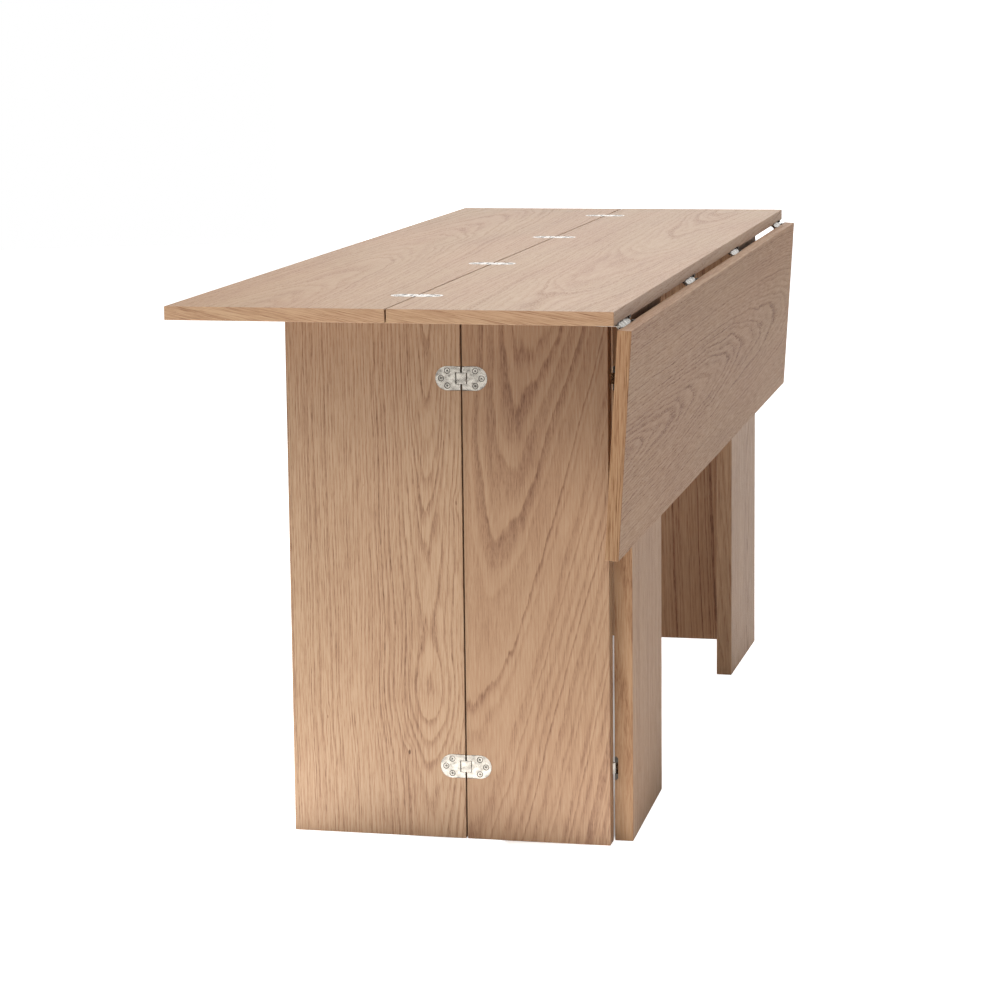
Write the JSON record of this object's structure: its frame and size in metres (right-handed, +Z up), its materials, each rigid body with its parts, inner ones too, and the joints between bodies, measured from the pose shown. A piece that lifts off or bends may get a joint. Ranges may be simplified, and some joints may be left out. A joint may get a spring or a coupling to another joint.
{
  "type": "gateleg table",
  "caption": "Oak folding table: a fixed centre leaf, a lift-up leaf and a drop leaf, on two folding legs of three hinged panels each.",
  "frame": {"origin": "on the floor, under the middle of the table's whole outline as it stands with the left leaf up and the right leaf hanging", "axes": "+Z up, +Y along the table's length towards the far leg, +X across it towards the hanging leaf"},
  "size_m": [0.6042, 1.7, 0.74],
  "materials": {
    "oak_top": "satin lacquered light oak, grain along the table's length",
    "oak_legs": "satin lacquered light oak, upright grain",
    "satin_nickel": "satin nickel plate",
    "zinc_steel": "bright zinc plate"
  },
  "bodies": {
    "frame": {"fixed_leaf": "oak_top", "near_fixed_panel": "oak_legs", "far_fixed_panel": "oak_legs", "near_fixing_angle": "zinc_steel", "far_fixing_angle": "zinc_steel", "lift_leaf_fixed_plate_1": "satin_nickel", "lift_leaf_fixed_plate_2": "satin_nickel", "lift_leaf_fixed_plate_3": "satin_nickel", "lift_leaf_fixed_plate_4": "satin_nickel", "drop_leaf_fixed_plate_1": "satin_nickel", "drop_leaf_fixed_plate_2": "satin_nickel", "drop_leaf_fixed_plate_3": "satin_nickel", "drop_leaf_fixed_plate_4": "satin_nickel", "near_lift_wing_fixed_plate_1": "satin_nickel", "near_lift_wing_fixed_plate_2": "satin_nickel", "near_drop_wing_fixed_plate_1": "satin_nickel", "near_drop_wing_fixed_plate_2": "satin_nickel", "far_lift_wing_fixed_plate_1": "satin_nickel", "far_lift_wing_fixed_plate_2": "satin_nickel", "far_drop_wing_fixed_plate_1": "satin_nickel", "far_drop_wing_fixed_plate_2": "satin_nickel"},
    "lift_leaf_links": {"lift_leaf_link_1": "satin_nickel", "lift_leaf_link_2": "satin_nickel", "lift_leaf_link_3": "satin_nickel", "lift_leaf_link_4": "satin_nickel"},
    "lift_leaf": {"lift_leaf": "oak_top", "lift_leaf_moving_plate_1": "satin_nickel", "lift_leaf_moving_plate_2": "satin_nickel", "lift_leaf_moving_plate_3": "satin_nickel", "lift_leaf_moving_plate_4": "satin_nickel"},
    "drop_leaf_links": {"drop_leaf_link_1": "satin_nickel", "drop_leaf_link_2": "satin_nickel", "drop_leaf_link_3": "satin_nickel", "drop_leaf_link_4": "satin_nickel"},
    "drop_leaf": {"drop_leaf": "oak_top", "drop_leaf_moving_plate_1": "satin_nickel", "drop_leaf_moving_plate_2": "satin_nickel", "drop_leaf_moving_plate_3": "satin_nickel", "drop_leaf_moving_plate_4": "satin_nickel"},
    "near_lift_wing_links": {"near_lift_wing_link_1": "satin_nickel", "near_lift_wing_link_2": "satin_nickel"},
    "near_lift_wing": {"near_lift_wing": "oak_legs", "near_lift_wing_moving_plate_1": "satin_nickel", "near_lift_wing_moving_plate_2": "satin_nickel"},
    "near_drop_wing_links": {"near_drop_wing_link_1": "satin_nickel", "near_drop_wing_link_2": "satin_nickel"},
    "near_drop_wing": {"near_drop_wing": "oak_legs", "near_drop_wing_moving_plate_1": "satin_nickel", "near_drop_wing_moving_plate_2": "satin_nickel"},
    "far_lift_wing_links": {"far_lift_wing_link_1": "satin_nickel", "far_lift_wing_link_2": "satin_nickel"},
    "far_lift_wing": {"far_lift_wing": "oak_legs", "far_lift_wing_moving_plate_1": "satin_nickel", "far_lift_wing_moving_plate_2": "satin_nickel"},
    "far_drop_wing_links": {"far_drop_wing_link_1": "satin_nickel", "far_drop_wing_link_2": "satin_nickel"},
    "far_drop_wing": {"far_drop_wing": "oak_legs", "far_drop_wing_moving_plate_1": "satin_nickel", "far_drop_wing_moving_plate_2": "satin_nickel"}
  },
  "joints": [
    {"name": "lift_leaf_links_turn", "type": "hinge", "parent": "frame", "child": "lift_leaf_links", "pos_m": [-0.00564, 0, 0.738], "axis": [0, 1, 0], "range_deg": [0, 90]},
    {"name": "lift_leaf_fold", "type": "hinge", "parent": "lift_leaf_links", "child": "lift_leaf", "pos_m": [-0.01664, 0, 0.738], "axis": [0, 1, 0], "range_deg": [0, 90]},
    {"name": "drop_leaf_links_turn", "type": "hinge", "parent": "frame", "child": "drop_leaf_links", "pos_m": [0.27536, 0, 0.721], "axis": [0, -1, 0], "range_deg": [0, 46.75]},
    {"name": "drop_leaf_fold", "type": "hinge", "parent": "drop_leaf_links", "child": "drop_leaf", "pos_m": [0.2829, 0, 0.71299], "axis": [0, -1, 0], "range_deg": [0, 46.75]},
    {"name": "near_lift_wing_links_turn", "type": "hinge", "parent": "frame", "child": "near_lift_wing_links", "pos_m": [0.04436, -0.648, 0.3635], "axis": [0, 0, 1], "range_deg": [0, 75]},
    {"name": "near_lift_wing_fold", "type": "hinge", "parent": "near_lift_wing_links", "child": "near_lift_wing", "pos_m": [0.03336, -0.648, 0.3635], "axis": [0, 0, 1], "range_deg": [0, 75]},
    {"name": "near_drop_wing_links_turn", "type": "hinge", "parent": "frame", "child": "near_drop_wing_links", "pos_m": [0.23136, -0.627, 0.3635], "axis": [0, 0, 1], "range_deg": [0, 44]},
    {"name": "near_drop_wing_fold", "type": "hinge", "parent": "near_drop_wing_links", "child": "near_drop_wing", "pos_m": [0.23908, -0.61916, 0.3635], "axis": [0, 0, 1], "range_deg": [0, 44]},
    {"name": "far_lift_wing_links_turn", "type": "hinge", "parent": "frame", "child": "far_lift_wing_links", "pos_m": [0.04436, 0.648, 0.3635], "axis": [0, 0, -1], "range_deg": [0, 75]},
    {"name": "far_lift_wing_fold", "type": "hinge", "parent": "far_lift_wing_links", "child": "far_lift_wing", "pos_m": [0.03336, 0.648, 0.3635], "axis": [0, 0, -1], "range_deg": [0, 75]},
    {"name": "far_drop_wing_links_turn", "type": "hinge", "parent": "frame", "child": "far_drop_wing_links", "pos_m": [0.23136, 0.627, 0.3635], "axis": [0, 0, -1], "range_deg": [0, 44]},
    {"name": "far_drop_wing_fold", "type": "hinge", "parent": "far_drop_wing_links", "child": "far_drop_wing", "pos_m": [0.23908, 0.61916, 0.3635], "axis": [0, 0, -1], "range_deg": [0, 44]}
  ],
  "couplings": [
    {"joint": "lift_leaf_links_turn", "follows": "lift_leaf_fold", "ratio": 1},
    {"joint": "drop_leaf_links_turn", "follows": "drop_leaf_fold", "ratio": 1},
    {"joint": "near_lift_wing_links_turn", "follows": "near_lift_wing_fold", "ratio": 1},
    {"joint": "near_drop_wing_links_turn", "follows": "near_drop_wing_fold", "ratio": 1},
    {"joint": "far_lift_wing_links_turn", "follows": "far_lift_wing_fold", "ratio": 1},
    {"joint": "far_drop_wing_links_turn", "follows": "far_drop_wing_fold", "ratio": 1}
  ]
}
